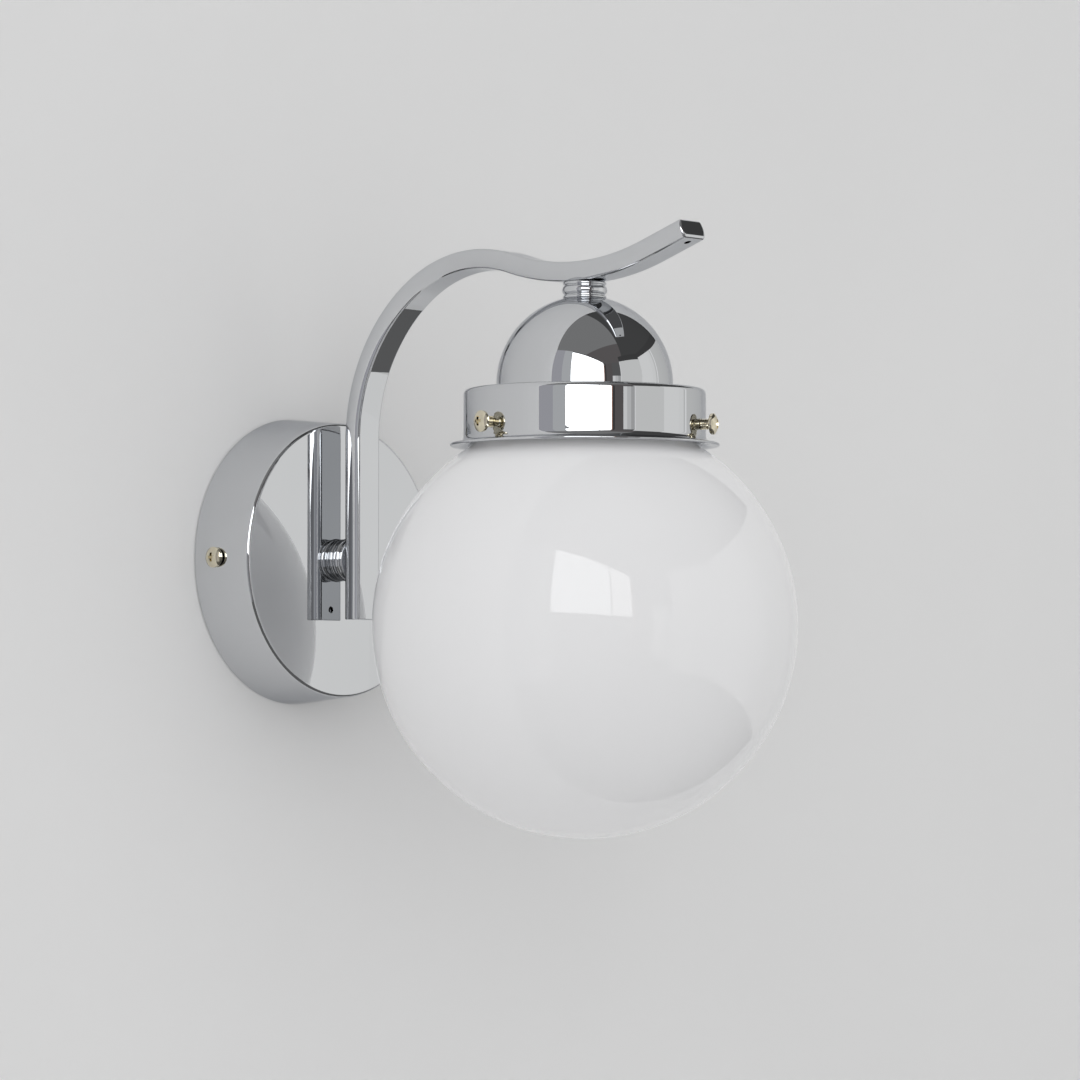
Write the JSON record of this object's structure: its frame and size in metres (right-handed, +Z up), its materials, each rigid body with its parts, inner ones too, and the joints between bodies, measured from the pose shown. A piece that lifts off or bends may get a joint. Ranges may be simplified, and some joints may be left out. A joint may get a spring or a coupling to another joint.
{
  "type": "wall lamp",
  "caption": "Chrome wall lamp: a round canopy and a curved flat arm carry a domed gallery with a hanging opal glass globe.",
  "frame": {"origin": "middle of the canopy's back, on the wall, where the bracket's two wall screw slots are centred", "axes": "+Y into the wall (the lamp reaches out along -Y), +X to the right seen from the room, +Z up"},
  "size_m": [0.15, 0.215, 0.2149],
  "materials": {
    "chrome": "polished mirror chrome",
    "screw_metal": "nickel-plated brass, lightly polished",
    "zinc_steel": "zinc-plated steel",
    "brass": "plain turned brass",
    "holder_plastic": "black heat-resistant plastic",
    "block_plastic": "natural nylon",
    "ceramic_white": "unglazed steatite",
    "bulb_metal": "pressed aluminium",
    "bulb_opal": "opal bulb glass",
    "opal_glass": "glossy cased opal glass",
    "wire_brown": "brown silicone insulation",
    "wire_blue": "blue silicone insulation"
  },
  "bodies": {
    "lamp_frame": {"canopy": "chrome", "wall_bracket": "zinc_steel", "earth_screw": "brass", "terminal_block": "block_plastic", "terminal_tubes": "brass", "terminal_screws": "zinc_steel", "block_screw": "zinc_steel", "centre_tube": "zinc_steel", "centre_washer": "zinc_steel", "centre_nut": "brass", "canopy_spacer": "chrome", "arm": "chrome", "arm_tip_cap": "chrome", "arm_foot_cap": "chrome", "wall_nut_plate": "zinc_steel", "dome_nut_plate": "zinc_steel", "dome_spacer": "chrome", "dome_tube": "zinc_steel", "dome": "chrome", "dome_washer": "zinc_steel", "dome_nut": "brass", "gallery": "chrome", "clamp_ring": "holder_plastic", "holder_cap": "holder_plastic", "holder_skirt": "holder_plastic", "holder_insert": "ceramic_white", "holder_shell": "brass", "holder_contact": "brass", "globe": "opal_glass", "live_wire": "wire_brown", "neutral_wire": "wire_blue"},
    "canopy_screw_left": {"canopy_screw_left": "screw_metal"},
    "canopy_screw_right": {"canopy_screw_right": "screw_metal"},
    "gallery_screw_1": {"gallery_screw_1": "screw_metal"},
    "gallery_screw_2": {"gallery_screw_2": "screw_metal"},
    "gallery_screw_3": {"gallery_screw_3": "screw_metal"},
    "bulb": {"bulb_cap": "bulb_metal", "bulb_glass": "bulb_opal"}
  },
  "joints": [
    {"name": "canopy_screw_left_travel", "type": "slide", "parent": "lamp_frame", "child": "canopy_screw_left", "axis": [-1, 0, 0], "range_m": [0, 0.005]},
    {"name": "canopy_screw_right_travel", "type": "slide", "parent": "lamp_frame", "child": "canopy_screw_right", "axis": [1, 0, 0], "range_m": [0, 0.005]},
    {"name": "gallery_screw_1_travel", "type": "slide", "parent": "lamp_frame", "child": "gallery_screw_1", "axis": [-0.9877, 0.1564, 0], "range_m": [0, 0.003]},
    {"name": "gallery_screw_2_travel", "type": "slide", "parent": "lamp_frame", "child": "gallery_screw_2", "axis": [0.3584, -0.9336, 0], "range_m": [0, 0.003]},
    {"name": "gallery_screw_3_travel", "type": "slide", "parent": "lamp_frame", "child": "gallery_screw_3", "axis": [0.6293, 0.7771, 0], "range_m": [0, 0.003]},
    {"name": "bulb_travel", "type": "slide", "parent": "lamp_frame", "child": "bulb", "axis": [0, 0, -1], "range_m": [0, 0.025]}
  ]
}
